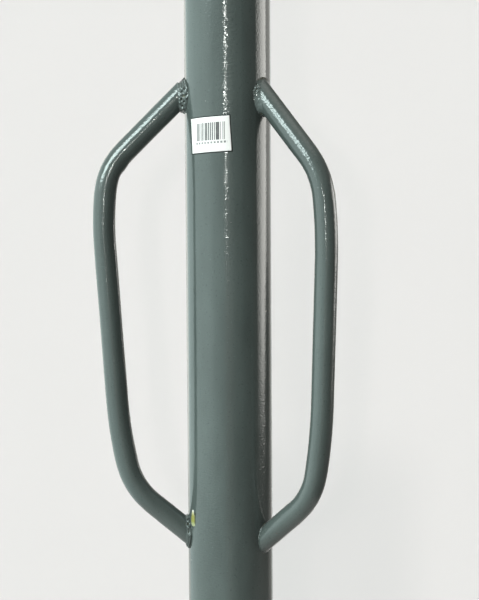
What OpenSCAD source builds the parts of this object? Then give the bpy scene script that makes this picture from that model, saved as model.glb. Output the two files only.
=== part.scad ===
// Manual post driver: a heavy steel tube, closed and weighted at the top, open at the
// bottom, with a bent tube handle welded to each side.
// Origin: centre of the open mouth. +Z runs up the barrel. The handles lean to -Y.

/* [Barrel] */
// Outer diameter of the barrel tube
barrel_d = 76; // [72:0.5:80]
// Wall thickness of the barrel tube
barrel_wall = 3.2; // [2.8:0.1:4]
// Length of the barrel tube, mouth to top plate
barrel_len = 692; // [660:1:760]
// Bevel on the outer edge of the mouth
mouth_bevel = 0.8; // [0.3:0.1:1.5]

/* [Top closure] */
// Thickness of the top plate
plate_t = 10; // [6:0.5:14]
// Bevel on the upper rim of the top plate
plate_bevel = 1.2; // [0.5:0.1:2]
// Depth of the weld groove between tube and plate
groove = 2.2; // [1.5:0.1:2.4]
// Height that the groove weld stands proud of the tube
weld_crown = 1.2; // [0.6:0.1:2]
// Length of the driving weight inside the barrel
weight_len = 60; // [40:1:90]
// Depth of the counterbore that seats the weight
seat_step = 0.5; // [0.4:0.05:0.8]
// Radial clearance around the weight
weight_gap = 0.15; // [0.1:0.05:0.3]
// Diameter of the plug welds that hold the weight
plug_d = 14; // [10:0.5:16]
// Number of plug welds round the barrel
plug_count = 4; // [3:1:6]

/* [Handles] */
// Outer diameter of the handle tube
handle_d = 20; // [18:0.5:22]
// Wall thickness of the handle tube
handle_wall = 2; // [1.5:0.1:3]
// Angle that each handle leans forward from the side
lean = 19; // [0:0.5:30]
// Height of the upper end of the left handle
left_top_z = 532.7; // [525:0.1:540]
// Reach of the grip of the left handle, at its widest
left_reach = 110.9; // [105:0.1:115]
// Height of the lower end of the left handle
left_foot_z = 132; // [126:0.5:138]
// Height of the upper end of the right handle
right_top_z = 528; // [521:0.5:535]
// Reach of the grip of the right handle, at its widest
right_reach = 101.8; // [97:0.1:106]
// Height of the lower end of the right handle
right_foot_z = 129.8; // [124:0.1:135]

/* [Welds] */
// Width of the weld bead around each handle end
bead_w = 4.4; // [3:0.1:6]
// Height of the weld bead on the barrel
bead_h = 4.2; // [3:0.1:6]

/* [Label] */
// Width of the paper label, measured round the barrel
label_w = 38.8; // [30:0.1:55]
// Height of the paper label
label_h = 30; // [20:0.5:40]
// Height of the centre of the label
label_z = 489.4; // [300:0.1:600]
// Position of the label round the barrel, from +X
label_az = -100.2; // [-160:0.1:-20]
// Tilt of the label from level
label_tilt = 3.2; // [-8:0.1:8]
// Thickness of the label
label_t = 0.2; // [0.15:0.05:0.4]

/* [Hidden] */
$fn = 96;

R = barrel_d / 2;                   // outer radius of the barrel
bore_r = R - barrel_wall;           // radius of the post bore
seat_r = bore_r + seat_step;        // radius of the seat of the weight
weight_r = seat_r - weight_gap;
weight_z = barrel_len - weight_len; // underside of the weight
plug_z = weight_z + weight_len * 0.45;
root = R - 4;                       // handle centrelines start inside the wall

left_az = 180 + lean;
right_az = -lean;

// Centreline of each handle as [radius, height], from the upper end to the lower,
// and the bend radius at each inner corner
left_line = [[root, left_top_z], [left_reach - 4.2, 460.4], [left_reach, 415.2],
             [left_reach - 12.3, 228.9], [left_reach - 23.6, 176.9], [root, left_foot_z]];
left_bends = [55, 285, 385, 66];
right_line = [[root, right_top_z], [right_reach - 5, 455.2], [right_reach, 404.6],
              [right_reach - 6, 228.9], [right_reach - 15.2, 174.9], [root, right_foot_z]];
right_bends = [68, 420, 445, 59];
swell = 0.05; // the bends are this much fuller than the straights, in radius
lap = 1;      // each straight runs this far into the bend beside it

function unit(v) = v / norm(v);
// Turn from direction u to direction v, positive counterclockwise
function turn(u, v) = atan2(u[0] * v[1] - u[1] * v[0], u * v);
// Distance from a corner to where its bend begins
function setback(p, i, r) =
    r * tan(abs(turn(unit(p[i] - p[i - 1]), unit(p[i + 1] - p[i]))) / 2);

// Straight rod from a to b in the XZ plane
module rod(a, b, d) {
    v = b - a;
    translate([a[0], 0, a[1]]) rotate([0, atan2(v[0], v[1]), 0]) cylinder(h = norm(v), d = d);
}

// Bend of radius r at corner i of the line p
module bend(p, i, r, d) {
    u = unit(p[i] - p[i - 1]);
    t = turn(u, unit(p[i + 1] - p[i]));
    s = sign(t);
    n = [-u[1], u[0]] * s;
    a = p[i] - u * setback(p, i, r);
    c = a + n * r;
    a0 = atan2(a[1] - c[1], a[0] - c[0]);
    translate([c[0], 0, c[1]]) rotate([90, 0, 0]) rotate([0, 0, s > 0 ? a0 : a0 + t])
        rotate_extrude(angle = abs(t), $fn = 360) translate([r, 0]) circle(d = d, $fn = 48);
}

// Whole rod along line p, with a bend at each inner corner
module swept(p, bends, d) {
    last = len(p) - 1;
    for (i = [0 : last - 1]) {
        u = unit(p[i + 1] - p[i]);
        a = i == 0 ? p[0] : p[i] + u * (setback(p, i, bends[i - 1]) - lap);
        b = i == last - 1 ? p[last] : p[i + 1] - u * (setback(p, i + 1, bends[i]) - lap);
        rod(a, b, d, $fn = 48);
    }
    for (i = [1 : last - 1]) bend(p, i, bends[i - 1], d + 2 * swell);
}

// Bent handle tube, its ends coped to the barrel
module handle(p, bends, az) {
    difference() {
        rotate([0, 0, az]) swept(p, bends, handle_d);
        rotate([0, 0, az]) swept(p, bends, handle_d - 2 * handle_wall);
        translate([0, 0, p[len(p) - 1][1] - 60])
            cylinder(h = p[0][1] - p[len(p) - 1][1] + 120, r = R);
    }
}

// Fillet weld around a handle end, from a (inside the wall) towards b
module bead(a, b, az) {
    difference() {
        intersection() {
            rotate([0, 0, az]) rod(a, a + unit(b - a) * 40, handle_d + 2 * bead_w);
            translate([0, 0, a[1] - 60]) cylinder(h = 120, r = R + bead_h);
        }
        rotate([0, 0, az]) rod(a - unit(b - a) * 20, a + unit(b - a) * 60, handle_d);
        translate([0, 0, a[1] - 70]) cylinder(h = 140, r = R);
    }
}

module barrel() {
    color([0.30, 0.36, 0.36]) difference() {
        rotate_extrude() polygon([
            [bore_r, 0], [R - mouth_bevel, 0], [R, mouth_bevel], [R, barrel_len - groove],
            [R - groove, barrel_len], [seat_r, barrel_len], [seat_r, weight_z], [bore_r, weight_z]]);
        for (i = [0 : plug_count - 1]) rotate([0, 0, 45 + i * 360 / plug_count])
            translate([0, 0, plug_z]) rotate([0, 90, 0]) cylinder(h = R + 5, d = plug_d);
    }
}

module top_plate() {
    color([0.30, 0.36, 0.36]) translate([0, 0, barrel_len]) rotate_extrude() polygon([
        [0, 0], [R - groove, 0], [R, groove], [R, plate_t - plate_bevel],
        [R - plate_bevel, plate_t], [0, plate_t]]);
}

module top_plate_weld() {
    color([0.34, 0.39, 0.38]) rotate_extrude() translate([0, barrel_len]) intersection() {
        polygon([[R - groove, 0], [R, -groove], [R + weld_crown, -groove * 0.5],
                 [R + weld_crown, groove * 0.5], [R, groove]]);
        translate([R - groove * 1.6, -20]) square([20, 40]);
    }
}

module driving_weight() {
    color([0.35, 0.34, 0.33]) translate([0, 0, weight_z]) cylinder(h = weight_len, r = weight_r);
}

module plug_welds() {
    color([0.34, 0.39, 0.38]) for (i = [0 : plug_count - 1])
        rotate([0, 0, 45 + i * 360 / plug_count]) difference() {
            intersection() {
                translate([0, 0, plug_z]) rotate([0, 90, 0]) cylinder(h = R + 5, d = plug_d);
                translate([0, 0, plug_z - 20]) cylinder(h = 40, r = R + 0.8);
            }
            translate([0, 0, plug_z - 30]) cylinder(h = 60, r = weight_r);
        }
}

module left_handle() color([0.30, 0.36, 0.36]) handle(left_line, left_bends, left_az);
module right_handle() color([0.30, 0.36, 0.36]) handle(right_line, right_bends, right_az);

module left_upper_weld() color([0.34, 0.39, 0.38]) bead(left_line[0], left_line[1], left_az);
module left_lower_weld() color([0.34, 0.39, 0.38]) bead(left_line[5], left_line[4], left_az);
module right_upper_weld() color([0.34, 0.39, 0.38]) bead(right_line[0], right_line[1], right_az);
module right_lower_weld() color([0.34, 0.39, 0.38]) bead(right_line[5], right_line[4], right_az);

// Thin skin on the barrel, cut to a tilted rectangle
module barcode_label() {
    half_chord = R * sin(label_w / 2 / R * 180 / PI);
    color([0.92, 0.92, 0.90]) intersection() {
        translate([0, 0, label_z - label_h]) difference() {
            cylinder(h = 2 * label_h, r = R + label_t);
            translate([0, 0, -1]) cylinder(h = 2 * label_h + 2, r = R);
        }
        translate([0, 0, label_z]) rotate([0, 0, label_az]) rotate([label_tilt, 0, 0])
            translate([0, -half_chord, -label_h / 2]) cube([R + 5, 2 * half_chord, label_h]);
    }
}

barrel();
top_plate();
top_plate_weld();
driving_weight();
plug_welds();
left_handle();
right_handle();
left_upper_weld();
left_lower_weld();
right_upper_weld();
right_lower_weld();
barcode_label();
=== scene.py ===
import math

import bpy
import numpy as np
from mathutils import Matrix, Vector


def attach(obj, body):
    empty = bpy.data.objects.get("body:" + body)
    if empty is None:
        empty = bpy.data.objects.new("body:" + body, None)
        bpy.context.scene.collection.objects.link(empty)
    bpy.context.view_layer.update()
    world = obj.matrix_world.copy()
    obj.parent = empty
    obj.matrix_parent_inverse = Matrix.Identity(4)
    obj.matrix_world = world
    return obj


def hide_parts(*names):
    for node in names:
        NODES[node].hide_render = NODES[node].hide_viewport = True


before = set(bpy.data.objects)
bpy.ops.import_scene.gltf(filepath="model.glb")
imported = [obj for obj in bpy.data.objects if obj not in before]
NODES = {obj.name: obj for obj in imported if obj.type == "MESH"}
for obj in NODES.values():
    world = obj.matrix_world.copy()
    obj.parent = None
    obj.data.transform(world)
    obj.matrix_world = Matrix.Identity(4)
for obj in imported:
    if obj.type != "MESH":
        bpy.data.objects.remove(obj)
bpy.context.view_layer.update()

# ------------------------------------------------------------------ view
# The view frame has the camera on its -Y side; the part's own frame is turned from it by VIEW_AZ.
VIEW_AZ = math.radians(15.0)


def from_view(x, y, z):
    """A point in the view frame (X right, Y away from the camera, millimetres) in the row frame, in metres."""
    c, s = math.cos(VIEW_AZ), math.sin(VIEW_AZ)
    return Vector((x * c - y * s, x * s + y * c, z)) / 1000


CAM_D, PITCH, ROLL, CAM_X = 1300.0, math.radians(4.20), math.radians(-0.361), 9.5
CAM_Z = 343.8 + CAM_D * math.tan(PITCH)
FOCAL = 1461.0 / 600 * 36


def make_camera():
    cam = bpy.data.objects.new("camera", bpy.data.cameras.new("camera"))
    bpy.context.scene.collection.objects.link(cam)
    cam.data.sensor_width = 36
    cam.data.lens = FOCAL
    cam.data.clip_start, cam.data.clip_end = 0.05, 30
    fwd = Vector((0, math.cos(PITCH), -math.sin(PITCH)))
    up = Vector((0, math.sin(PITCH), math.cos(PITCH)))
    right = Vector((1, 0, 0))
    r = right * math.cos(ROLL) + up * math.sin(ROLL)
    u = up * math.cos(ROLL) - right * math.sin(ROLL)
    m = Matrix((r, u, -fwd)).transposed().to_4x4()
    m = Matrix.Rotation(VIEW_AZ, 4, "Z") @ m
    m.translation = from_view(CAM_X, -CAM_D, CAM_Z)
    cam.matrix_world = m
    bpy.context.scene.camera = cam
    return cam


# ------------------------------------------------------------------ node helpers
class Graph:
    """Short ways to add shader nodes to one tree. A value is a number, a tuple or an output socket."""

    def __init__(self, tree):
        self.t = tree
        tree.nodes.clear()

    def put(self, socket, value):
        if isinstance(value, bpy.types.NodeSocket):
            self.t.links.new(value, socket)
        elif isinstance(value, (tuple, list)) and len(value) == 3 and socket.type == "RGBA":
            socket.default_value = (*value, 1)
        else:
            socket.default_value = value

    def node(self, kind, props=None, **inputs):
        n = self.t.nodes.new(kind)
        for k, v in (props or {}).items():
            setattr(n, k, v)
        for k, v in inputs.items():
            self.put(n.inputs[k.replace("_", " ")], v)
        return n

    def math(self, op, a, b=None, c=None, clamp=False):
        n = self.t.nodes.new("ShaderNodeMath")
        n.operation, n.use_clamp = op, clamp
        for i, v in enumerate((a, b, c)):
            if v is not None:
                self.put(n.inputs[i], v)
        return n.outputs[0]

    def add(self, a, b):
        return self.math("ADD", a, b)

    def sub(self, a, b):
        return self.math("SUBTRACT", a, b)

    def mul(self, a, b):
        return self.math("MULTIPLY", a, b)

    def step(self, x, lo, hi, to_lo=0.0, to_hi=1.0):
        """Smooth step from to_lo at lo to to_hi at hi."""
        n = self.t.nodes.new("ShaderNodeMapRange")
        n.interpolation_type = "SMOOTHSTEP"
        for i, v in enumerate((x, lo, hi, to_lo, to_hi)):
            self.put(n.inputs[i], v)
        return n.outputs[0]

    def band(self, x, lo, hi, soft):
        """1 between lo and hi, with soft sides."""
        return self.mul(self.step(x, lo - soft, lo + soft), self.step(x, hi - soft, hi + soft, 1.0, 0.0))

    def ramp(self, x, stops, mode="LINEAR"):
        n = self.t.nodes.new("ShaderNodeValToRGB")
        r = n.color_ramp
        r.interpolation = mode
        assert len(stops) <= 32
        r.elements.remove(r.elements[1])
        for i, (p, c) in enumerate(sorted(stops, key=lambda q: q[0])):
            if i:
                e = r.elements.new(p)
            else:
                e = r.elements[0]
                e.position = p
            e.color = (*c, 1) if isinstance(c, (tuple, list)) else (c, c, c, 1)
        self.put(n.inputs[0], x)
        return n.outputs[0]

    def mix(self, f, a, b):
        n = self.t.nodes.new("ShaderNodeMix")
        n.data_type = "RGBA"
        self.put(n.inputs[0], f)
        self.put(n.inputs[6], a)
        self.put(n.inputs[7], b)
        return n.outputs[2]

    def mixf(self, f, a, b):
        n = self.t.nodes.new("ShaderNodeMix")
        n.data_type = "FLOAT"
        self.put(n.inputs[0], f)
        self.put(n.inputs[2], a)
        self.put(n.inputs[3], b)
        return n.outputs[0]

    def noise(self, co, scale, detail=2.0, rough=0.5, warp=0.0):
        n = self.t.nodes.new("ShaderNodeTexNoise")
        self.put(n.inputs["Vector"], co)
        n.inputs["Scale"].default_value = scale
        n.inputs["Detail"].default_value = detail
        n.inputs["Roughness"].default_value = rough
        n.inputs["Distortion"].default_value = warp
        return n.outputs["Fac"]

    def cells(self, co, scale, smooth=1.0, jitter=1.0):
        n = self.t.nodes.new("ShaderNodeTexVoronoi")
        n.feature = "SMOOTH_F1"
        self.put(n.inputs["Vector"], co)
        n.inputs["Scale"].default_value = scale
        n.inputs["Smoothness"].default_value = smooth
        n.inputs["Randomness"].default_value = jitter
        return n.outputs["Distance"]

    def scaled(self, co, v):
        n = self.t.nodes.new("ShaderNodeVectorMath")
        n.operation = "MULTIPLY"
        self.put(n.inputs[0], co)
        n.inputs[1].default_value = v
        return n.outputs[0]

    def bump(self, height, distance, normal=None, strength=1.0):
        n = self.t.nodes.new("ShaderNodeBump")
        n.inputs["Strength"].default_value = strength
        n.inputs["Distance"].default_value = distance
        self.put(n.inputs["Height"], height)
        if normal is not None:
            self.put(n.inputs["Normal"], normal)
        return n.outputs[0]

    def xyz(self, co):
        n = self.t.nodes.new("ShaderNodeSeparateXYZ")
        self.put(n.inputs[0], co)
        return n.outputs


def material(name):
    m = bpy.data.materials.new(name)
    m.use_nodes = True
    return m, Graph(m.node_tree)


def finish_material(g, **inputs):
    b = g.node("ShaderNodeBsdfPrincipled", None, **inputs)
    out = g.t.nodes.new("ShaderNodeOutputMaterial")
    g.t.links.new(b.outputs[0], out.inputs[0])
    return b


# ------------------------------------------------------------------ materials
PAINT_DARK, PAINT_LIGHT = (0.0445, 0.052, 0.049), (0.0545, 0.0635, 0.060)


def paint_layer(g, co, peel=1.0, seed=0.0):
    """Colour, roughness and normal of gloss paint with orange peel, before wear."""
    shift = g.t.nodes.new("ShaderNodeVectorMath")
    shift.operation = "ADD"
    g.put(shift.inputs[0], co)
    shift.inputs[1].default_value = (seed, seed * 0.7, seed * 1.3)
    p = shift.outputs[0]
    cloud = g.noise(g.scaled(p, (1, 1, 0.35)), 26, 3, 0.55)
    mottle = g.noise(p, 210, 3, 0.6)
    colour = g.mix(g.step(cloud, 0.34, 0.66), PAINT_DARK, PAINT_LIGHT)
    colour = g.mix(g.mul(g.step(mottle, 0.45, 0.75), 0.35), colour, (0.048, 0.059, 0.0555))
    fleck = g.step(g.noise(p, 900, 1, 0.5), 0.71, 0.76)
    colour = g.mix(g.mul(fleck, 0.4), colour, (0.09, 0.115, 0.11))
    speck = g.step(g.noise(p, 640, 0, 0.5), 0.27, 0.23)
    colour = g.mix(g.mul(speck, 0.5), colour, (0.03, 0.038, 0.036))
    dust = g.step(g.noise(p, 48, 4, 0.62), 0.48, 0.8)
    rough = g.add(g.mixf(g.noise(p, 340, 2), 0.075, 0.125), g.mul(dust, 0.10))
    # slow waves of the flow-out, then the orange-peel cells, then fine grain
    n = g.bump(g.noise(g.scaled(p, (1, 1, 0.6)), 95, 1, 0.4), 0.00008 * peel)
    n = g.bump(g.noise(g.scaled(p, (1, 1, 1.6)), 430, 0, 0.5), 0.000075 * peel, n)
    n = g.bump(g.noise(g.scaled(p, (1, 1, 3.0)), 330, 0, 0.5), 0.00003 * peel * peel, n)
    n = g.bump(g.noise(g.scaled(p, (1, 1, 1.3)), 930, 0, 0.5), 0.000035 * peel, n)
    return colour, rough, n


def bare_layer(g, co, seed=0.0):
    """Colour, roughness and height of bare mill steel with a light bloom of rust."""
    scale = g.noise(g.scaled(co, (1, 1, 0.5)), 60 + seed, 5, 0.65, 0.4)
    steel = g.mix(g.step(scale, 0.35, 0.65), (0.075, 0.07, 0.066), (0.17, 0.16, 0.15))
    rust = g.step(g.noise(co, 130, 5, 0.7), 0.56, 0.74)
    steel = g.mix(g.mul(rust, 0.65), steel, (0.16, 0.062, 0.024))
    rough = g.add(g.mixf(scale, 0.42, 0.6), g.mul(rust, 0.25))
    return steel, rough, rust


def paint_material(name, peel=1.0, seed=0.0, kind="plain"):
    m, g = material(name)
    co = g.t.nodes.new("ShaderNodeTexCoord").outputs["Object"]
    colour, rough, normal = paint_layer(g, co, peel, seed)
    x, y, z = g.xyz(co)
    metallic = 0.0
    radius = g.math("SQRT", g.add(g.mul(x, x), g.mul(y, y)))
    if kind == "barrel":
        steel, srough, rust = bare_layer(g, co)
        # inside of the bore: bare tube, with overspray that reaches a little way up from the mouth
        inside = g.step(radius, 0.0368, 0.0362)
        inside = g.mul(inside, g.step(g.add(z, g.mul(g.noise(co, 45, 3), 0.05)), 0.028, 0.06))
        # worn ring at the mouth, where the tube lands on posts and floors
        chip = g.noise(co, 300, 4, 0.7)
        edge = g.step(g.add(g.mul(z, 260), g.mul(chip, 1.35)), 1.02, 0.78)
        rub = g.step(g.add(g.mul(z, 55), g.mul(g.noise(g.scaled(co, (1, 1, 0.25)), 420, 3, 0.7), 1.5)), 0.80, 0.62)
        edge = g.math("MAXIMUM", edge, g.mul(rub, g.step(radius, 0.0378, 0.0381)))
        # coarser orange peel down one flank
        turn = g.mul(g.math("ARCTAN2", y, x), 180 / math.pi)
        flank = g.mul(g.band(turn, -36.0, -12.0, 4.0), g.step(z, 0.36, 0.5))
        coarse = g.add(g.mul(g.noise(g.scaled(co, (1, 1, 1.25)), 680, 0, 0.5), 1.25), g.mul(g.noise(co, 1300, 0, 0.5), 0.6))
        normal = g.bump(g.mul(coarse, flank), 0.00006, normal)
        # the seam of the tube: a narrow stripe whose surface leans left and right by turns
        off = g.mul(g.sub(turn, -77.2), 0.038 * math.pi / 180)
        off = g.math("MINIMUM", g.math("MAXIMUM", off, -0.0012), 0.0012)
        sway = g.sub(g.noise(g.scaled(co, (0.3, 0.3, 1)), 540, 0, 0.5), 0.5)
        seam = g.mul(g.band(turn, -89.0, -65.0, 6.0), g.step(z, 0.464, 0.490))
        normal = g.bump(g.mul(g.mul(off, sway), g.mul(seam, 0.23)), 1.0, normal)
        normal = g.bump(g.mul(g.noise(g.scaled(co, (1, 1, 2.6)), 330, 0, 0.5), seam), 0.00006, normal)
        # small bare marks down the barrel
        nick = g.step(g.noise(g.scaled(co, (1, 1, 2.6)), 150, 1, 0.3), 0.83, 0.845)
        bare = g.math("MAXIMUM", g.math("MAXIMUM", inside, edge), g.mul(nick, 0.8))
        colour = g.mix(bare, colour, steel)
        rough = g.mixf(bare, rough, srough)
        metallic = g.mul(bare, g.sub(0.85, g.mul(rust, 0.7)))
        # pale splash of another colour beside the lower left weld
        az = g.math("ARCTAN2", y, x)
        s = g.mul(g.sub(az, math.radians(-135.6)), 38.0)
        h = g.mul(g.sub(z, 0.1437), 1000 / 14.6)
        wob = g.mul(g.sub(g.noise(co, 420, 2), 0.5), 1.6)
        half = g.add(g.ramp(h, [(0, 0.40), (0.10, 0.80), (0.3, 0.92), (0.55, 0.82), (0.8, 0.45), (1, 0.20)]), -0.02)
        side = g.math("ABSOLUTE", g.add(s, wob))
        splash = g.step(g.sub(side, g.mul(half, 4.4)), 0.45, -0.35)
        splash = g.mul(splash, g.band(h, 0.0, 1.0, 0.035))
        tint = g.ramp(h, [(0, (0.25, 0.255, 0.16)), (0.2, (0.23, 0.235, 0.11)), (0.3, (0.19, 0.182, 0.045)),
                          (0.65, (0.205, 0.19, 0.06)), (0.85, (0.36, 0.33, 0.22)), (1, (0.62, 0.57, 0.53))])
        colour = g.mix(splash, colour, tint)
        # painted shade: a dark olive rim down one side of the raised splash
        shade_rim = g.mul(g.band(g.add(s, wob), 2.7, 5.0, 0.5), g.band(h, 0.16, 0.86, 0.08))
        colour = g.mix(g.mul(shade_rim, 0.85), colour, (0.018, 0.021, 0.006))
        normal = g.bump(splash, 0.00025, normal)
    if kind == "handle":
        # hands and gloves have dulled the grips a little, and knocked a few spots off
        grip = g.mul(g.band(z, 0.21, 0.42, 0.03), g.step(g.noise(g.scaled(co, (1, 1, 0.4)), 70, 3), 0.4, 0.65))
        rough = g.add(rough, g.mul(grip, 0.045))
        nick = g.step(g.noise(g.scaled(co, (1, 1, 1.8)), 210, 1, 0.3), 0.785, 0.80)
        colour = g.mix(g.mul(nick, 0.8), colour, (0.15, 0.14, 0.13))
        metallic = g.mul(nick, 0.6)
        normal = g.bump(g.sub(1.0, nick), 0.00012, normal)
    if kind == "plate":
        wear = g.step(g.add(g.mul(g.sub(radius, 0.0340), 210), g.mul(g.noise(co, 260, 4, 0.7), 1.2)), 1.12, 1.36)
        scuff = g.step(g.noise(g.scaled(co, (1, 0.18, 1)), 330, 3, 0.75), 0.655, 0.70)
        steel, srough, rust = bare_layer(g, co, 7)
        bare = g.math("MAXIMUM", g.mul(wear, g.step(z, 0.6995, 0.7012)), g.mul(scuff, g.mul(g.step(z, 0.7012, 0.7018), 0.6)))
        colour = g.mix(bare, colour, steel)
        rough = g.mixf(bare, g.add(rough, 0.03), srough)
        metallic = g.mul(bare, g.sub(0.85, g.mul(rust, 0.7)))
        normal = g.bump(g.noise(co, 170, 3, 0.6), 0.00035, normal)
    if kind == "weld":
        # painted shade: a vertex value darkens the pits, toes and ripple troughs of the beads; the darker pits also
        # take patches of brown rust
        pit_shade_and_rust = g.t.nodes.new("ShaderNodeAttribute")
        pit_shade_and_rust.attribute_name = "pit_shade_and_rust"
        p = pit_shade_and_rust.outputs["Fac"]
        colour = g.mix(g.mul(g.step(p, 0.25, 0.95), 0.85), colour, (0.022, 0.023, 0.014))
        brown = g.mul(g.step(g.noise(co, 620, 3, 0.6), 0.52, 0.66), g.step(p, 0.45, 0.9))
        colour = g.mix(g.mul(brown, 0.6), colour, (0.11, 0.105, 0.05))
        rough = g.add(rough, g.mul(p, 0.45))
        normal = g.bump(g.noise(co, 420, 3, 0.55), 0.00012, normal)
    finish_material(g, Base_Color=colour, Roughness=rough, Metallic=metallic, Normal=normal)
    return m


def bare_material(name):
    """Rough sawn and hot-rolled steel of the driving weight, with light saw marks all over."""
    m, g = material(name)
    co = g.t.nodes.new("ShaderNodeTexCoord").outputs["Object"]
    steel, rough, rust = bare_layer(g, co, 11)
    saw = g.noise(g.scaled(co, (1, 0.06, 1)), 900, 2, 0.6)
    steel = g.mix(g.mul(g.step(saw, 0.4, 0.7), 0.5), steel, (0.24, 0.235, 0.225))
    n = g.bump(saw, 0.00012)
    n = g.bump(g.noise(co, 300, 4, 0.7), 0.0003, n)
    finish_material(g, Base_Color=steel, Roughness=rough, Metallic=g.sub(0.85, g.mul(rust, 0.75)), Normal=n)
    return m


def label_material(name):
    """White paper with plain bars and a row of plain dashes. u and v run 0 to 1 over the paper; outside is a dark
    margin, painted shade round the paper's edge.
    """
    m, g = material(name)
    uv = g.t.nodes.new("ShaderNodeUVMap")
    uv.uv_map = "label"
    u, v, _ = g.xyz(uv.outputs[0])
    co = g.t.nodes.new("ShaderNodeTexCoord").outputs["Object"]
    paper = g.mix(g.noise(co, 260, 4, 0.6), (0.58, 0.53, 0.52), (0.65, 0.595, 0.588))
    lean = g.add(g.add(u, -0.035), g.mul(g.sub(v, 0.58), -0.045))
    bars = g.ramp(lean, [(0.0, 1), (0.138, 0.30), (0.232, 1), (0.256, 0.18), (0.284, 1), (0.300, 0.15), (0.326, 1), (0.338, 0.2),
                         (0.354, 1), (0.370, 0.10), (0.396, 0.30), (0.410, 0.08), (0.438, 1), (0.455, 0.03), (0.487, 1), (0.503, 0.04),
                         (0.529, 1), (0.545, 0.03), (0.574, 1), (0.593, 0.06), (0.615, 1), (0.636, 0.03), (0.716, 1), (0.737, 0.20),
                         (0.752, 1), (0.790, 0.18), (0.808, 1), (0.822, 0.24), (0.842, 1)], "CONSTANT")
    faded = g.step(g.noise(g.scaled(co, (1, 1, 0.3)), 500, 2), 0.2, 0.8, 0.9, 1.0)
    ink = g.mul(g.band(v, 0.335, 0.842, 0.006), faded)
    colour = g.mix(ink, paper, g.mix(bars, (0.01, 0.01, 0.011), paper))
    ticks = g.ramp(g.math("FRACT", g.mul(g.add(u, 0.02), 13.0)), [(0, 1), (0.2, 0.02), (0.45, 0.5), (0.55, 0.05), (0.78, 1)], "CONSTANT")
    row = g.mul(g.band(v, 0.238, 0.298, 0.008), g.band(u, 0.13, 0.92, 0.01))
    gaps = g.step(g.noise(g.scaled(uv.outputs[0], (9, 0.0, 0)), 1.7, 0), 0.2, 0.3)
    colour = g.mix(g.mul(g.mul(row, gaps), 0.95), colour, g.mix(ticks, (0.05, 0.05, 0.05), paper))
    # painted shade: outside the paper the label is a dark margin along its edge
    inside = g.mul(g.band(u, 0.0, 1.0, 0.004), g.band(v, 0.0, 1.0, 0.005))
    colour = g.mix(inside, (0.006, 0.008, 0.0075), colour)
    rough = g.mixf(inside, 0.85, g.mixf(g.noise(co, 800, 2), 0.40, 0.55))
    n = g.bump(g.noise(co, 1600, 3, 0.6), 0.00002)
    n = g.bump(g.noise(co, 90, 2), 0.0001, n)
    finish_material(g, Base_Color=colour, Roughness=rough, Normal=n)
    return m


BARREL_PAINT = paint_material("barrel_paint", 1.0, 0.0, "barrel")
HANDLE_PAINT = paint_material("handle_paint", 1.4, 0.31, "handle")
WELD_PAINT = paint_material("weld_paint", 0.5, 0.77, "weld")
PLATE_PAINT = paint_material("plate_paint", 1.0, 0.52, "plate")
BARE = bare_material("bare_steel")
LABEL = label_material("label_paper")
for name, o in NODES.items():
    o.data.materials.clear()
    o.data.materials.append({"barrel": BARREL_PAINT, "top_plate": PLATE_PAINT, "driving_weight": BARE,
                             "barcode_label": LABEL}.get(name, WELD_PAINT if "weld" in name else HANDLE_PAINT))


# ------------------------------------------------------------------ mesh helpers
def waves(a, b, seed, count, ka, kb):
    """Smooth noise of about -1 to 1 over two arrays; it repeats in a after 2 pi."""
    rng = np.random.default_rng(seed)
    out = np.zeros(np.broadcast(a, b).shape)
    for _ in range(count):
        k, q = rng.integers(1, ka + 1), rng.uniform(-kb, kb)
        out += rng.uniform(0.5, 1) * np.cos(k * a + q * b + rng.uniform(0, 2 * math.pi))
    return out / math.sqrt(count)


def grid_piece(name, grid, mat, node, attr=None, caps=False, uv=None, smooth=True, wrap_v=True):
    """A closed mesh from a grid of points (u, v, 3) in mm: u always wraps, v wraps unless wrap_v is off."""
    nu, nv = grid.shape[:2]
    verts = (grid.reshape(-1, 3) / 1000).tolist()
    faces = []
    for i in range(nu):
        j = (i + 1) % nu
        for k in range(nv if wrap_v else nv - 1):
            m = (k + 1) % nv
            faces.append((i * nv + k, j * nv + k, j * nv + m, i * nv + m))
    if caps:
        faces.append(tuple(i * nv for i in range(nu))[::-1])
        faces.append(tuple(i * nv + nv - 1 for i in range(nu)))
    me = bpy.data.meshes.new(name)
    me.from_pydata(verts, [], faces)
    if attr is not None:
        a = me.attributes.new("pit_shade_and_rust", "FLOAT", "POINT")
        a.data.foreach_set("value", attr.astype(np.float32).ravel())
    me.validate()
    return place(name, me, mat, node, smooth)


def place(name, me, mat, node, smooth=True):
    import bmesh
    bm = bmesh.new()
    bm.from_mesh(me)
    bmesh.ops.recalc_face_normals(bm, faces=bm.faces[:])
    bm.to_mesh(me)
    bm.free()
    if smooth:
        me.polygons.foreach_set("use_smooth", [True] * len(me.polygons))
    me.materials.append(mat)
    o = bpy.data.objects.new(name, me)
    bpy.context.scene.collection.objects.link(o)
    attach(o, "root")
    if node:
        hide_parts(node)
    return o


# ------------------------------------------------------------------ handles
R, TUBE = 38.0, 10.0
LEFT_AZ, RIGHT_AZ = math.radians(199), math.radians(-19)
LEFT = [(34, 532.7), (106.7, 460.4), (110.9, 415.2), (98.6, 228.9), (87.3, 176.9), (34, 132)]
RIGHT = [(34, 528), (96.8, 455.2), (101.8, 404.6), (95.8, 228.9), (86.6, 174.9), (34, 129.8)]
LEFT_BENDS, RIGHT_BENDS = [55, 285, 385, 66], [68, 420, 445, 59]


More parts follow.
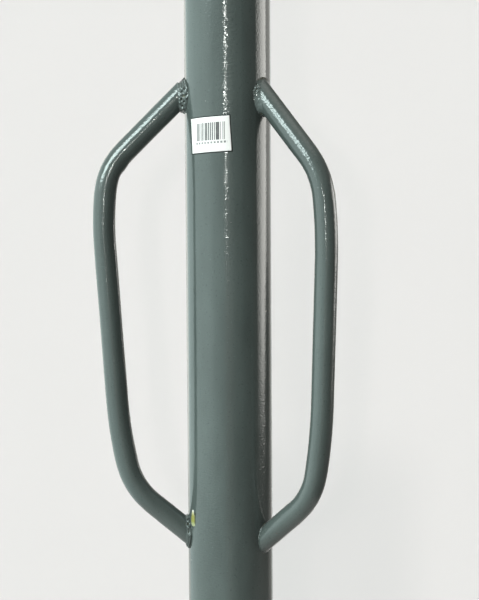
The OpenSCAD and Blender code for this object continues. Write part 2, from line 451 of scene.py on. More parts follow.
def centreline(points, bends, step=1.5):
    """The handle's line in its own plane, [radius, height], with its bends, at even steps."""
    p = [np.array(q, float) for q in points]
    out = [p[0]]
    for i in range(1, len(p) - 1):
        u, v = p[i] - p[i - 1], p[i + 1] - p[i]
        u, v = u / np.linalg.norm(u), v / np.linalg.norm(v)
        turn = math.atan2(u[0] * v[1] - u[1] * v[0], u @ v)
        back = bends[i - 1] * math.tan(abs(turn) / 2)
        a = p[i] - u * back
        n = np.array([-u[1], u[0]]) * np.sign(turn)
        c = a + n * bends[i - 1]
        k = max(6, int(abs(turn) * bends[i - 1] / 1.0))
        for t in np.linspace(0, turn, k + 1):
            d = a - c
            out.append(c + np.array([d[0] * math.cos(t) - d[1] * math.sin(t), d[0] * math.sin(t) + d[1] * math.cos(t)]))
    out.append(p[-1])
    out = np.array(out)
    s = np.concatenate([[0], np.cumsum(np.linalg.norm(np.diff(out, axis=0), axis=1))])
    t = np.arange(0, s[-1] + step / 2, step)
    t[-1] = s[-1]
    return np.stack([np.interp(t, s, out[:, 0]), np.interp(t, s, out[:, 1])], 1), t


def smooth_line(line, sigma, step=1.5):
    k = int(4 * sigma / step)
    w = np.exp(-0.5 * (np.arange(-k, k + 1) * step / sigma) ** 2)
    w /= w.sum()
    a = line[0] + (line[0] - line[1]) * np.arange(k, 0, -1)[:, None]
    b = line[-1] + (line[-1] - line[-2]) * np.arange(1, k + 1)[:, None]
    full = np.concatenate([a, line, b])
    return np.stack([np.convolve(full[:, 0], w, "valid"), np.convolve(full[:, 1], w, "valid")], 1)


class End:
    """One end of a handle: its straight axis, and the curve where the tube meets the barrel."""

    def __init__(self, az, root, nxt):
        self.az = az
        t = np.array(nxt, float) - np.array(root, float)
        t /= np.linalg.norm(t)
        self.r0, self.z0, self.tr, self.tz = root[0], root[1], t[0], t[1]
        # N is the upper side of the tube, in the handle's plane, and B is square to that plane
        self.nr, self.nz = (-t[1], t[0]) if t[0] > 0 else (t[1], -t[0])
        e, b = np.array([math.cos(az), math.sin(az), 0]), np.array([-math.sin(az), math.cos(az), 0])
        self.e, self.B = e, b
        self.T = e * self.tr + np.array([0, 0, self.tz])
        self.N = e * self.nr + np.array([0, 0, self.nz])
        self.C = e * self.r0 + np.array([0, 0, self.z0])

    def along(self, phi, radius=TUBE, barrel=R):
        """Distance from the root to where the tube's surface line at phi meets the barrel."""
        b = radius * np.sin(phi)
        return (np.sqrt(barrel ** 2 - b ** 2) - self.r0 - radius * np.cos(phi) * self.nr) / self.tr

    def point(self, phi, t, radius=TUBE):
        phi, t, radius = np.broadcast_arrays(phi, t, radius)
        return (self.C + t[..., None] * self.T
                + radius[..., None] * (np.cos(phi)[..., None] * self.N + np.sin(phi)[..., None] * self.B))

    def frame(self, phi):
        """Meeting point, the way out along the tube, and the way out over the barrel, both square to the joint."""
        p = self.point(phi, self.along(phi))
        nh = np.cos(phi)[..., None] * self.N + np.sin(phi)[..., None] * self.B
        nb = p * np.array([1, 1, 0]) / R
        tau = np.cross(nh, nb)
        tau /= np.linalg.norm(tau, axis=-1, keepdims=True)
        eh = np.cross(nh, tau)
        eh *= np.sign((eh * nb).sum(-1, keepdims=True))
        eb = np.cross(nb, tau)
        eb *= np.sign((eb * nh).sum(-1, keepdims=True))
        return p, nh, nb, eh, eb

    def on_tube(self, q, radius=TUBE):
        d = q - self.C
        a = d @ self.T
        foot = self.C + a[..., None] * self.T
        out = q - foot
        return foot + out / np.linalg.norm(out, axis=-1, keepdims=True) * radius

    @staticmethod
    def on_barrel(q, radius=R):
        h = q * np.array([1, 1, 0])
        return h / np.linalg.norm(h, axis=-1, keepdims=True) * radius + q * np.array([0, 0, 1])


def handle(name, az, points, bends, node, top_gap, foot_gap, kink=None, seed=1):
    """The handle tube: swept along its line, a little flattened in the bends, cut at the ends to leave a weld gap."""
    nphi = 56
    phi = np.arange(nphi) / nphi * 2 * math.pi
    line, s = centreline(points, bends)
    line = smooth_line(line, 3.5)
    s = np.concatenate([[0], np.cumsum(np.linalg.norm(np.diff(line, axis=0), axis=1))])
    t = np.gradient(line, s, axis=0)
    t /= np.linalg.norm(t, axis=1, keepdims=True)
    turn = np.unwrap(np.arctan2(t[:, 1], t[:, 0]))
    curve = np.abs(np.gradient(turn, s))
    e, b = np.array([math.cos(az), math.sin(az), 0]), np.array([-math.sin(az), math.cos(az), 0])
    z = np.array([0, 0, 1.0])
    rng = np.random.default_rng(seed)
    ring0, ring1 = 34.0, s[-1] - 34.0
    keep = (s >= ring0) & (s <= ring1)
    rows = []
    top, foot = End(az, points[0], points[1]), End(az, points[-1], points[-2])
    # upper end: rows run from the cut to the first full ring
    cut = top.along(phi) + top_gap(phi)
    inner = top.point(phi, cut + 0.25, 8.3)
    deep = top.point(phi, cut + 9, 8.2)
    rows += [deep, inner, top.point(phi, cut - 0.02, 9.25), top.point(phi, cut + 0.1, 9.8), top.point(phi, cut + 0.45, 10.0)]
    for f in np.linspace(0, 1, 12)[1:-1]:
        rows.append(top.point(phi, (cut + 0.45) * (1 - f) + ring0 * f))
    # outward normal in the plane, on the same side as N of the upper end
    for i in np.nonzero(keep)[0]:
        tr, tz = t[i]
        n = np.array([-tz, tr])
        n3, c = e * n[0] + z * n[1], e * line[i, 0] + z * line[i, 1]
        oval = min(0.030, 1.6 * curve[i])
        rn, rb = TUBE * (1 - oval), TUBE * (1 + oval * 0.55)
        wob = 0.05 * math.sin(s[i] / 31 + seed) + 0.04 * math.sin(s[i] / 13.7 + 2 * seed)
        rad_n, rad_b = np.cos(phi) * (rn + wob), np.sin(phi) * (rb - wob * 0.5)
        dent = np.zeros(nphi)
        if kink:
            d = (s[i] - kink[0]) / kink[1]
            inner_side = np.clip(-np.cos(phi), 0, 1) ** 2
            dent = kink[2] * inner_side * (math.exp(-0.5 * d * d) - 0.55 * math.exp(-0.5 * ((s[i] - kink[0] - kink[1] * 1.9) / (kink[1] * 0.9)) ** 2))
        rows.append(c + (rad_n * (1 - dent / TUBE))[:, None] * n3 + (rad_b * (1 - dent / TUBE * 0.2))[:, None] * b)
    # lower end. Its N is the upper side too, so phi runs the other way round to match the swept rings
    psi = math.pi - phi if foot.nr < 0 else phi
    cut = foot.along(psi) + foot_gap(psi)
    for f in np.linspace(1, 0, 12)[1:-1]:
        rows.append(foot.point(psi, (cut + 0.45) * (1 - f) + ring0 * f))
    rows += [foot.point(psi, cut + 0.45), foot.point(psi, cut + 0.1, 9.8), foot.point(psi, cut - 0.02, 9.25),
             foot.point(psi, cut + 0.25, 8.3), foot.point(psi, cut + 9, 8.2)]
    grid = np.stack(rows, 1)
    return grid_piece(name, grid, HANDLE_PAINT, node, caps=True, wrap_v=False)


# ------------------------------------------------------------------ welds
def table(phi, pairs):
    """A value round the joint from (degrees, value) pairs, joined smoothly."""
    a = np.radians([p[0] for p in pairs] + [pairs[0][0] + 360])
    v = np.array([p[1] for p in pairs] + [pairs[0][1]], float)
    x = np.mod(phi - a[0], 2 * math.pi) + a[0]
    k = np.clip(np.searchsorted(a, x, side="right") - 1, 0, len(a) - 2)
    f = (x - a[k]) / (a[k + 1] - a[k])
    f = f * f * (3 - 2 * f)
    return v[k] * (1 - f) + v[k + 1] * f


def weld(name, end, node, reach_tube, reach_barrel, crown, seed, pitch=2.3, ripple=0.30, passes=None, lumps=(), rough=0.10,
         spatter=(), flow=(0.62, 0.62), toe=((0, 1.0),)):
    """A weld bead round the end of a handle, from its toe on the tube (v 0) to its toe on the barrel (v 1).

    reach_tube, reach_barrel and crown are tables of mm round the joint. pitch and ripple are the spacing and height of the
    ripples, passes is (number, height, from degrees, to degrees) of beads laid side by side, and lumps are
    (degrees, v, radius in mm, height in mm) of drops and pits."""
    nu, nv = 288, 30
    phi = np.arange(nu) / nu * 2 * math.pi
    p, nh, nb, eh, eb = end.frame(phi)
    ragged = waves(phi, 0, seed, 9, 22, 0) * 0.22
    ragged2 = waves(phi, 0, seed + 1, 9, 26, 0) * 0.28
    wt, wb, cr = table(phi, reach_tube) + ragged, table(phi, reach_barrel) + ragged2, table(phi, crown)
    a = end.on_tube(p + wt[:, None] * eh, TUBE - 0.10)
    b = end.on_barrel(p + wb[:, None] * eb, R - 0.12)
    chord = b - a
    length = np.linalg.norm(chord, axis=1)
    tau = np.cross(nh, nb)
    tau /= np.linalg.norm(tau, axis=1, keepdims=True)
    out = np.cross(chord, tau)
    out /= np.linalg.norm(out, axis=1, keepdims=True)
    out *= np.sign((out * (nh + nb)).sum(1, keepdims=True))
    arc = np.concatenate([[0], np.cumsum(np.linalg.norm(np.diff(p, axis=0), axis=1))])
    total = arc[-1] + np.linalg.norm(p[0] - p[-1])
    count = round(total / pitch)
    rng = np.random.default_rng(seed)
    v = np.linspace(0, 1, nv)
    V, PH = np.meshgrid(v, phi)
    # flow is how abruptly the bead rises from the tube and from the barrel: small is abrupt
    body = V ** flow[0] * (1 - V) ** flow[1]
    body /= body.max()
    # overlapping ripples: each rises slowly and drops fast, bowed across the bead
    x = arc[:, None] / total * count + 0.85 * (2 * V - 1) ** 2 + 0.28 * waves(PH, V * 4, seed + 2, 8, 9, 3)
    step = np.floor(x)
    f = x - step
    tall = 0.65 + 0.7 * rng.random(count + 6)[(step.astype(int) % (count + 6))]
    scale = np.where(f < 0.78, np.sin(f / 0.78 * math.pi / 2), np.cos((f - 0.78) / 0.22 * math.pi / 2))
    rip = ripple * tall * scale * np.clip(body * 1.3, 0, 1)
    h = cr[:, None] * body + rip
    if passes:
        n, tallp, p0, p1 = passes
        window = np.array([1.0 if (math.degrees(q) - p0) % 360 < (p1 - p0) % 360 else 0.0 for q in phi])
        k = np.ones(13) / 13
        window = np.convolve(np.concatenate([window[-6:], window, window[:6]]), k, "valid")
        vv = np.clip(V + 0.035 * waves(PH, 0 * V, seed + 4, 6, 12, 0), 0, 1)
        groove = np.abs(np.sin(vv * n * math.pi)) ** 0.7
        h = h * (1 - 0.75 * window[:, None]) + window[:, None] * (cr[:, None] * body + tallp * groove - 0.25 * tallp)
    # painted shade: a value per point that darkens pits, toes and ripple troughs
    pit_shade_and_rust = np.zeros_like(h)
    mid = a[:, None] + V[..., None] * chord[:, None]
    for deg, vc, rad, height in lumps:
        q = np.radians(deg)
        i = int(round(q / (2 * math.pi) * nu)) % nu
        c = mid[i, int(round(vc * (nv - 1)))]
        d = np.linalg.norm(mid - c, axis=2) / rad
        h += height * np.exp(-0.5 * (d * 1.5) ** 2) * np.clip(body * 2, 0, 1)
        # painted shade in each pit
        if height < 0:
            pit_shade_and_rust = np.maximum(pit_shade_and_rust, np.exp(-0.5 * (d * 1.25) ** 2))
    h += rough * waves(PH * 1.0, V * 9, seed + 3, 16, 40, 2.5) * np.clip(body * 1.5, 0, 1)
    # painted shade: a thin dark line along both toes, in the notch where the bead meets the tube and the barrel
    dark = table(phi, list(toe))[:, None]
    pit_shade_and_rust = np.maximum(pit_shade_and_rust, dark * (0.30 * np.exp(-(V / 0.04) ** 2) + 0.66 * np.exp(-((1 - V) / 0.07) ** 2)))
    # painted shade in the trough at the foot of each ripple
    pit_shade_and_rust = np.maximum(pit_shade_and_rust, 0.30 * np.exp(-((f - 0.98) / 0.06) ** 2) * np.clip(body, 0, 1))
    grid = mid + h[..., None] * out[:, None]
    # nothing rises through the barrel from inside
    back = p - 0.9 * nb - 0.7 * nh
    far_a, far_b = end.on_tube(a, TUBE - 1.2), end.on_barrel(b, R - 1.1)
    grid = np.concatenate([grid, far_b[:, None], back[:, None], far_a[:, None]], 1)
    pit_shade_and_rust = np.concatenate([pit_shade_and_rust, np.zeros((nu, 3))], 1)
    verts, faces = [], []
    nv2 = nv + 3
    for i in range(nu):
        j = (i + 1) % nu
        for k in range(nv2):
            m = (k + 1) % nv2
            faces.append((i * nv2 + k, j * nv2 + k, j * nv2 + m, i * nv2 + m))
    verts = grid.reshape(-1, 3).tolist()
    pits = pit_shade_and_rust.ravel().tolist()
    # spatter: small flattened drops stuck to the barrel near the toe
    for deg, dist, rad in spatter:
        i = int(round(math.radians(deg) / (2 * math.pi) * nu)) % nu
        c = End.on_barrel((p[i] + (wb[i] + dist) * eb[i])[None], R)[0]
        n = c * np.array([1, 1, 0]) / R
        t1 = np.cross(n, [0, 0, 1.0])
        t2 = np.array([0, 0, 1.0])
        base = len(verts)
        rings, around = 4, 10
        verts.append((c + n * rad * 0.62).tolist())
        pits.append(0.0)
        for r in range(1, rings + 1):
            th = r / rings * 1.75
            for w in range(around):
                ang = w / around * 2 * math.pi
                verts.append((c + n * (rad * 0.62 * math.cos(th)) + (t1 * math.cos(ang) + t2 * math.sin(ang) * 1.15) * rad * math.sin(th)).tolist())
                # painted shade round the foot of each drop, where it meets the barrel
                pits.append(0.5 if r == rings else 0.1)
        for w in range(around):
            faces.append((base, base + 1 + w, base + 1 + (w + 1) % around))
            for r in range(1, rings):
                o0, o1 = base + 1 + (r - 1) * around, base + 1 + r * around
                faces.append((o0 + w, o1 + w, o1 + (w + 1) % around, o0 + (w + 1) % around))
        faces.append(tuple(base + 1 + (rings - 1) * around + w for w in range(around)))
    me = bpy.data.meshes.new(name)
    me.from_pydata((np.array(verts) / 1000).tolist(), [], faces)
    at = me.attributes.new("pit_shade_and_rust", "FLOAT", "POINT")
    at.data.foreach_set("value", np.array(pits, np.float32))
    me.validate()
    return place(name, me, WELD_PAINT, node)


LU, LL = End(LEFT_AZ, LEFT[0], LEFT[1]), End(LEFT_AZ, LEFT[-1], LEFT[-2])
RU, RL = End(RIGHT_AZ, RIGHT[0], RIGHT[1]), End(RIGHT_AZ, RIGHT[-1], RIGHT[-2])

LU_TUBE = [(0, 10.2), (45, 9.4), (90, 8.2), (135, 7.0), (180, 6.2), (225, 7.0), (270, 8.2), (315, 9.4)]
handle("left_handle_tube", LEFT_AZ, LEFT, LEFT_BENDS, "left_handle",
       lambda q: table(q, LU_TUBE) - 1.1, lambda q: 0 * q - 0.25, kink=(92.0, 5.0, -0.75), seed=3)
handle("right_handle_tube", RIGHT_AZ, RIGHT, RIGHT_BENDS, "right_handle",
       lambda q: 0 * q - 0.25, lambda q: 0 * q - 0.25, seed=8)

weld("left_upper_bead", LU, "left_upper_weld", LU_TUBE,
     [(0, -7.0), (30, -4.6), (60, 1.0), (90, 5.0), (135, 6.0), (180, 6.2), (225, 5.6), (270, 4.4), (310, -1.6), (335, -5.2)],
     [(0, -1.8), (45, -0.7), (90, 0.3), (135, 0.5), (180, -0.7), (225, 0.6), (270, 0.6), (315, -0.4)],
     seed=21, pitch=2.6, ripple=0.30, passes=(4, 1.5, 350, 92),
     lumps=[(96, 0.35, 1.2, 1.2), (112, 0.55, 1.9, -1.1), (122, 0.35, 0.9, -2.0), (128, 0.62, 0.8, -1.9), (134, 0.25, 0.9, 1.2),
            (142, 0.5, 0.9, -2.0), (150, 0.6, 1.2, 1.2), (118, 0.8, 0.9, 1.1), (104, 0.72, 1.0, 1.0), (88, 0.55, 0.8, 1.0),
            (126, 0.15, 0.8, 0.9), (160, 0.35, 0.9, -1.2)],
     flow=(0.8, 0.62), rough=0.20, spatter=[(60, 3.0, 0.5), (100, 2.4, 0.4), (140, 3.6, 0.5), (300, 3.1, 0.6), (250, 2.2, 0.4)])
weld("left_lower_bead", LL, "left_lower_weld",
     [(0, 3.0), (90, 3.2), (135, 3.0), (180, 2.2), (225, 3.0), (270, 3.2)],
     [(0, 2.6), (60, 3.6), (90, 3.8), (135, 3.2), (180, 0.6), (225, 3.0), (270, 3.6)],
     [(0, -0.2), (60, 0.7), (120, 0.9), (180, 0.0), (240, 0.8), (300, 0.7)],
     seed=34, pitch=2.7, ripple=0.30, passes=(3, 1.1, 84, 165), flow=(0.9, 0.7),
     lumps=[(34, 0.45, 0.8, 1.8), (32, 0.7, 0.8, 1.4), (40, 0.18, 0.7, 1.2), (50, 0.5, 1.2, -2.6), (62, 0.22, 0.8, 1.6),
            (66, 0.55, 0.8, 1.9), (60, 0.84, 0.8, 1.6), (42, 0.85, 0.7, 1.3), (78, 0.4, 0.8, -1.4), (22, 0.4, 0.9, -1.0)],
     rough=0.16, spatter=[(40, 3.0, 0.5), (95, 3.2, 0.4), (210, 3.0, 0.5), (280, 2.4, 0.5)])
weld("right_upper_bead", RU, "right_upper_weld",
     [(0, 2.6), (60, 2.8), (120, 3.5), (180, 4.6), (225, 6.4), (270, 6.0), (300, 4.4), (330, 3.0)],
     [(0, 1.4), (60, 3.0), (120, 3.4), (180, 3.4), (225, 3.4), (270, 3.0), (300, 2.6), (330, 2.0)],
     [(0, 0.1), (45, 0.2), (90, 0.5), (150, 0.1), (200, -0.4), (270, -0.4), (310, -0.3), (335, 0.0)],
     seed=47, pitch=2.4, ripple=0.09, flow=(1.2, 1.0),
     toe=[(0, 1.5), (40, 0.9), (90, 0.6), (180, 0.5), (270, 0.3), (310, 0.6), (335, 1.4)],
     lumps=[(356, 0.5, 3.4, -0.25), (10, 0.5, 3.4, -0.25), (340, 0.7, 2.4, -0.3), (26, 0.7, 2.4, -0.3), (324, 0.88, 1.5, -0.3),
            (290, 0.45, 1.0, 0.8), (286, 0.72, 0.9, 0.8), (276, 0.45, 0.9, 0.8), (290, 0.25, 0.8, 0.7), (278, 0.88, 0.8, 0.8),
            (283, 0.6, 0.6, -0.6), (300, 0.7, 0.8, -0.7), (200, 0.7, 1.3, -1.3)],
     rough=0.08, spatter=[(90, 3.0, 0.5), (130, 2.4, 0.4), (280, 4.2, 0.35)])
weld("right_lower_bead", RL, "right_lower_weld",
     [(0, 2.2), (90, 3.0), (180, 2.8), (225, 4.2), (270, 4.6), (315, 3.2)],
     [(0, 0.8), (60, 2.6), (120, 2.4), (180, 0.3), (225, 0.1), (270, 0.3), (315, 0.8)],
     [(0, -0.9), (60, 0.4), (180, -0.3), (225, -0.4), (270, -0.5), (315, -0.7)],
     seed=59, pitch=2.8, ripple=0.10, flow=(1.2, 1.0), toe=[(0, 1.4), (90, 0.6), (180, 0.6), (225, 1.3), (270, 1.2), (330, 1.4)],
     lumps=[(352, 0.7, 1.5, -0.9), (334, 0.8, 1.1, -0.7), (316, 0.30, 0.9, 0.3), (306, 0.6, 0.9, 0.35), (224, 0.85, 1.2, -1.2),
            (190, 0.5, 1.2, 0.3)],
     rough=0.07, spatter=[(60, 3.0, 0.5), (120, 3.4, 0.4)])


def ring_weld():
    """The closing weld round the top of the barrel: a low crown with close ripples."""
    nu, nv = 560, 16
    phi = np.arange(nu) / nu * 2 * math.pi
    v = np.linspace(0, 1, nv)
    V, PH = np.meshgrid(v, phi)
    lo = 688.9 + 0.25 * waves(phi, 0, 71, 10, 40, 0)
    hi = 695.2 + 0.25 * waves(phi, 0, 72, 10, 40, 0)
    z = lo[:, None] * (1 - V) + hi[:, None] * V
    body = (4 * V * (1 - V)) ** 0.6
    count = 96
    x = PH / (2 * math.pi) * count + 0.8 * (2 * V - 1) ** 2 + 0.25 * waves(PH, V * 3, 73, 8, 12, 3)
    f = x - np.floor(x)
    rng = np.random.default_rng(74)
    tall = 0.7 + 0.6 * rng.random(count + 4)[np.floor(x).astype(int) % (count + 4)]
    scale = np.where(f < 0.78, np.sin(f / 0.78 * math.pi / 2), np.cos((f - 0.78) / 0.22 * math.pi / 2))
    h = 0.72 * body + 0.24 * tall * scale * np.clip(body * 1.3, 0, 1) + 0.05 * waves(PH, V * 8, 75, 12, 90, 2)
    # the run starts and stops at the back
    d = np.angle(np.exp(1j * (PH - math.radians(74)))) * R
    h += 0.25 * np.exp(-0.5 * (d / 3) ** 2) * body - 0.5 * np.exp(-0.5 * ((d - 4.5) / 1.4) ** 2 - ((V - 0.5) / 0.25) ** 2)
    rad = np.minimum(R - 0.12 + h, 39.19)
    # painted shade along both toes and in the ripple troughs
    pit_shade_and_rust = 0.6 * np.exp(-(V / 0.06) ** 2) + 0.6 * np.exp(-((1 - V) / 0.06) ** 2) + 0.3 * np.exp(-((f - 0.98) / 0.07) ** 2) * body
    grid = np.stack([rad * np.cos(PH), rad * np.sin(PH), z], 2)
    back = np.stack([36.9 * np.cos(phi), 36.9 * np.sin(phi), 0 * phi + 692.0], 1)
    grid = np.concatenate([grid, back[:, None]], 1)
    pit_shade_and_rust = np.concatenate([pit_shade_and_rust, np.zeros((nu, 1))], 1)
    return grid_piece("top_bead", grid, WELD_PAINT, "top_plate_weld", attr=pit_shade_and_rust)


def plug_beads():
    """The four plug welds that hold the weight: domed spirals, filed a little flat."""
    verts, faces, pits = [], [], []
    nr, na = 15, 56
    for k in range(4):
        az, zc = math.radians(45 + 90 * k), 659.0
        base = len(verts)
        rng = np.random.default_rng(90 + k)
        for i in range(nr + 1):
            r = 7.45 * (i / nr)
            for j in range(na if i else 1):
                a = j / na * 2 * math.pi
                rr = r * (1 + 0.025 * math.sin(3 * a + k) + 0.015 * math.sin(7 * a + 2 * k))
                s, z = rr * math.cos(a), rr * math.sin(a)
                dome = max(0.0, 1 - (i / nr) ** 2.6)
                spiral = 0.11 * math.sin((r / 1.25) * 2 * math.pi - a + k)
                lump = 0.10 * math.sin(5.1 * math.cos(a + k) * r / 3 + 2) * math.cos(1.7 * r * math.sin(a) / 2)
                h = min(0.66 * dome + (spiral + lump) * min(1, dome * 2.5), 0.76) - 0.10
                if i == nr:
                    h = -0.35
                rad = R + h
                verts.append((rad * math.cos(az + s / R), rad * math.sin(az + s / R), zc + z))
                # painted shade round the edge of each plug and in its spiral grooves
                pits.append(0.75 if i >= nr - 1 else 0.25 * max(0.0, -spiral / 0.11))
        last = base + 1 + (nr - 1) * na
        for j in range(na):
            m = (j + 1) % na
            faces.append((base, base + 1 + j, base + 1 + m))
            for i in range(1, nr):
                o0, o1 = base + 1 + (i - 1) * na, base + 1 + i * na
                faces.append((o0 + j, o1 + j, o1 + m, o0 + m))
        # closed at the back, inside the plug hole
        inner = len(verts)
        for j in range(na):
            a = j / na * 2 * math.pi
            s, z = 6.9 * math.cos(a), 6.9 * math.sin(a)
            verts.append(((R - 2.5) * math.cos(az + s / R), (R - 2.5) * math.sin(az + s / R), zc + z))
            pits.append(0.0)
        for j in range(na):
            m = (j + 1) % na
            faces.append((last + j, inner + j, inner + m, last + m))
        faces.append(tuple(inner + j for j in range(na)))
    me = bpy.data.meshes.new("plug_beads")
    me.from_pydata((np.array(verts) / 1000).tolist(), [], faces)
    at = me.attributes.new("pit_shade_and_rust", "FLOAT", "POINT")
    at.data.foreach_set("value", np.array(pits, np.float32))
    me.validate()
    return place("plug_beads", me, WELD_PAINT, "plug_welds")


ring_weld()
plug_beads()


# ------------------------------------------------------------------ label
def label_sheet():
    """The paper label, bent round the barrel, with corners that have just begun to lift."""
    w, h, az0, zc, tilt = 38.8, 30.0, math.radians(-100.2), 489.4, math.radians(3.2)
    # the width of the dark margin round the paper, painted shade along its edge
    shade_rim = 0.95
    us = np.concatenate([[-shade_rim / w, -0.12 / w], np.linspace(0, 1, 49), [1 + 0.12 / w, 1 + shade_rim / w]])
    vs = np.concatenate([[-shade_rim / h, -0.12 / h], np.linspace(0, 1, 39), [1 + 0.12 / h, 1 + shade_rim / h]])
    U, V = np.meshgrid(us, vs, indexing="ij")
    inside = (U >= 0) & (U <= 1) & (V >= 0) & (V <= 1)
    a, b = (U - 0.5) * w, (V - 0.5) * h
    a += 0.10 * np.sin(V * 5 + 1) * (np.abs(U - 0.5) > 0.45)
    s, z = a * math.cos(tilt) - b * math.sin(tilt), zc + a * math.sin(tilt) + b * math.cos(tilt)
    lift = 0.0
    for cu, cv, amp, reach in ((1, 0, 0.26, 0.16), (0, 1, 0.14, 0.12), (1, 1, 0.10, 0.10)):
        d = np.hypot((U - cu) * w, (V - cv) * h) / (w * reach)
        lift = lift + amp * np.clip(1 - d, 0, 1) ** 2
    wrinkle = 0.018 * np.sin(U * 17 + 2 * np.sin(V * 5)) * np.sin(V * 9 + 1)
    thick = np.where(inside, 0.12 + lift + wrinkle + 0.02, 0.015)
    rad = R + thick
    az = az0 + s / R
    top = np.stack([rad * np.cos(az), rad * np.sin(az), z], 2)
    under = np.stack([(R - 0.05) * np.cos(az), (R - 0.05) * np.sin(az), z], 2)
    nu, nv = U.shape
    verts = np.concatenate([top.reshape(-1, 3), under.reshape(-1, 3)])
    uvs = np.concatenate([np.stack([U, V], 2).reshape(-1, 2)] * 2)
    off = nu * nv
    faces = []
    for i in range(nu - 1):
        for k in range(nv - 1):
            q = (i * nv + k, (i + 1) * nv + k, (i + 1) * nv + k + 1, i * nv + k + 1)
            faces.append(q)
            faces.append(tuple(x + off for x in q[::-1]))
    ring = ([(i, 0) for i in range(nu)] + [(nu - 1, k) for k in range(1, nv)] + [(i, nv - 1) for i in range(nu - 2, -1, -1)]
            + [(0, k) for k in range(nv - 2, 0, -1)])
    idx = [i * nv + k for i, k in ring]
    for q in range(len(idx)):
        n = (q + 1) % len(idx)
        faces.append((idx[q], idx[q] + off, idx[n] + off, idx[n]))
    me = bpy.data.meshes.new("label_sheet")
    me.from_pydata((verts / 1000).tolist(), [], faces)
    layer = me.uv_layers.new(name="label")
    loop_v = np.zeros(len(me.loops), np.int32)
    me.loops.foreach_get("vertex_index", loop_v)
    layer.data.foreach_set("uv", uvs[loop_v].astype(np.float32).ravel())
    me.validate()
    return place("label_sheet", me, LABEL, "barcode_label")


label_sheet()


# ------------------------------------------------------------------ stage
def link_mesh(name, verts, faces, mat, smooth=False):
    me = bpy.data.meshes.new(name)
    me.from_pydata(verts, [], faces)
    me.materials.append(mat)
    if smooth:
        me.polygons.foreach_set("use_smooth", [True] * len(me.polygons))
    o = bpy.data.objects.new(name, me)
    bpy.context.scene.collection.objects.link(o)
    return o


def pale(name, colour):
    m, g = material(name)
    co = g.t.nodes.new("ShaderNodeTexCoord").outputs["Object"]
    c = g.mix(g.noise(co, 3, 2), tuple(0.985 * x for x in colour), colour)
    finish_material(g, Base_Color=c, Roughness=0.85)
    return m


WALL_Y = 2450.0
wall = link_mesh("backdrop", [from_view(-740, WALL_Y, -2600), from_view(740, WALL_Y, -2600), from_view(740, WALL_Y, 3600),
                              from_view(-740, WALL_Y, 3600)], [(0, 1, 2, 3)], pale("backdrop_paper", (0.548, 0.475, 0.477)))


def round_floor():
    """The floor the part stands on: a pale round plinth, wider than the part and out of the camera's main view."""
    rows = [(0.0, -0.001), (236, -0.001), (238, -0.4), (239.4, -1.6), (240, -3.5), (240, -900)]
    n = 128
    verts = [Vector((0, 0, rows[0][1] / 1000))]
    for r, z in rows[1:]:
        verts += [Vector((r * math.cos(2 * math.pi * i / n), r * math.sin(2 * math.pi * i / n), z)) / 1000 for i in range(n)]
    faces = [(0, 1 + i, 1 + (i + 1) % n) for i in range(n)]
    for k in range(len(rows) - 2):
        a, b = 1 + k * n, 1 + (k + 1) * n
        faces += [(a + i, b + i, b + (i + 1) % n, a + (i + 1) % n) for i in range(n)]
    return link_mesh("floor", verts, faces, pale("floor_paper", (0.52, 0.47, 0.465)), True)


floor = round_floor()

# The room: soft light by direction. Angles in degrees: az is from the camera's side, positive to its right; el is up.
world = bpy.data.worlds.new("studio")
bpy.context.scene.world = world
world.use_nodes = True
g = Graph(world.node_tree)
direction = g.t.nodes.new("ShaderNodeTexCoord").outputs["Generated"]


def dot(v):
    n = g.t.nodes.new("ShaderNodeVectorMath")
    n.operation = "DOT_PRODUCT"
    g.put(n.inputs[0], direction)
    n.inputs[1].default_value = v
    return n.outputs["Value"]


c15, s15 = math.cos(VIEW_AZ), math.sin(VIEW_AZ)
right, near, up = dot((c15, s15, 0)), dot((s15, -c15, 0)), dot((0, 0, 1))
AZ = g.mul(g.math("ARCTAN2", right, near), 180 / math.pi)
EL = g.mul(g.math("ARCSINE", up), 180 / math.pi)
TOP = 8.0
profile = [(-180, 0.87), (-167, 1.0), (-162, 1.5), (-152, 1.7), (-143, 1.8), (-128, 1.7), (-115, 1.9), (-98, 2.15), (-80, 2.3), (-58, 2.4),
           (-47, 2.15), (-38, 1.6), (-24, 1.45), (-14, 1.1), (-3, 0.75), (9, 0.5), (16, 0.26), (28, 0.18), (36, 0.06), (78, 0.05), (86, 0.3),
           (130, 0.03), (137, 0.2), (143, 0.8), (150, 0.95), (152, 0.86), (180, 0.86)]
low_profile = [(-180, 0.86), (-150, 1.0), (-130, 1.5), (-100, 1.6), (-70, 1.5), (-45, 1.1), (-20, 0.9), (-5, 0.6), (10, 0.25),
               (30, 0.15), (60, 0.18), (90, 0.22), (120, 0.16), (140, 0.5), (152, 0.86), (180, 0.86)]
around = g.add(g.mul(AZ, 1 / 360), 0.5)
horizon = g.mul(g.ramp(around, [((a + 180) / 360, v / TOP) for a, v in profile]), TOP)
lower = g.mul(g.ramp(around, [((a + 180) / 360, v / TOP) for a, v in low_profile]), TOP)
light = g.mixf(g.step(EL, -9.0, -14.0), horizon, lower)
upper = g.mixf(g.step(AZ, -20.0, 30.0), 0.75, 0.30)
light = g.mixf(g.step(EL, 13.0, 30.0), light, g.mixf(g.step(EL, 46.0, 72.0), upper, 2.0))
light = g.mixf(g.step(EL, -35.0, -60.0), light, 0.45)


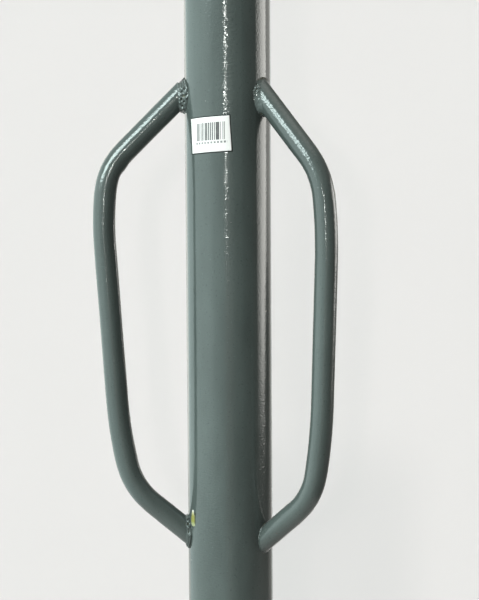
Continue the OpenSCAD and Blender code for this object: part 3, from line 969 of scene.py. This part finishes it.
def lamp(a0, a1, e0, e1, soft_a, soft_e, power, slant=0.0):
    """A bright panel over a range of directions, with soft edges of (first side, second side) each way.

    slant draws the second side in, in degrees per degree below level."""
    global light
    drawn = g.add(AZ, g.mul(g.math("MAXIMUM", g.mul(EL, -1.0), 0.0), slant))
    sides = g.mul(g.step(AZ, a0 - soft_a[0], a0 + soft_a[0]), g.step(drawn, a1 - soft_a[1], a1 + soft_a[1], 1.0, 0.0))
    ends = g.mul(g.step(EL, e0 - soft_e[0], e0 + soft_e[0]), g.step(EL, e1 - soft_e[1], e1 + soft_e[1], 1.0, 0.0))
    light = g.add(light, g.mul(g.mul(sides, ends), power))


lamp(94, 126.5, -7.6, 16, (10, 2), (1.6, 5), 5.5, slant=2.3)
lamp(-66, -28, 26, 44, (5, 4), (3, 5), 19)
lamp(-70, -43, 14.5, 26, (5, 5), (4, 3), 18)
lamp(-6.2, -3.9, 4.2, 8.0, (0.6, 0.6), (1.5, 0.6), 150)
lamp(126.5, 140, -2.5, 16, (2, 3), (2.5, 5), 0.9)
# the light is cooler on the left and warmer on the right
cool = g.band(AZ, -146, -8, 9)
tint = g.mix(cool, (1.01, 1.0, 0.945), (0.835, 1.0, 0.98))
coloured = g.t.nodes.new("ShaderNodeVectorMath")
coloured.operation = "SCALE"
g.put(coloured.inputs[0], tint)
g.put(coloured.inputs["Scale"], light)
seen = g.t.nodes.new("ShaderNodeLightPath").outputs["Is Camera Ray"]
plain = g.mix(seen, coloured.outputs[0], (0.865, 0.872, 0.85))
bg = g.node("ShaderNodeBackground", None, Color=plain, Strength=1.0)
out = g.t.nodes.new("ShaderNodeOutputWorld")
g.t.links.new(bg.outputs[0], out.inputs[0])
world.cycles.sampling_method = "MANUAL"
world.cycles.sample_map_resolution = 1024

# A small lamp beside the camera that lights only the backdrop, for the part's soft shadow on it
d = bpy.data.lights.new("shadow_lamp", "AREA")
d.shape = "DISK"
d.size = 0.009
d.energy = 1.0
lamp_obj = bpy.data.objects.new("shadow_lamp", d)
bpy.context.scene.collection.objects.link(lamp_obj)
lamp_obj.location = from_view(-46.5, -1408, 463)
lamp_obj.rotation_mode = "QUATERNION"
lamp_obj.rotation_quaternion = (lamp_obj.location - from_view(80, WALL_Y, 250)).to_track_quat("Z", "Y")
lamp_obj.visible_glossy = lamp_obj.visible_camera = False
only_wall = bpy.data.collections.new("shadow_lamp_receivers")
only_wall.objects.link(wall)
lamp_obj.light_linking.receiver_collection = only_wall
d.energy = 9.5

bpy.context.scene.view_settings.view_transform = "Standard"

make_camera()
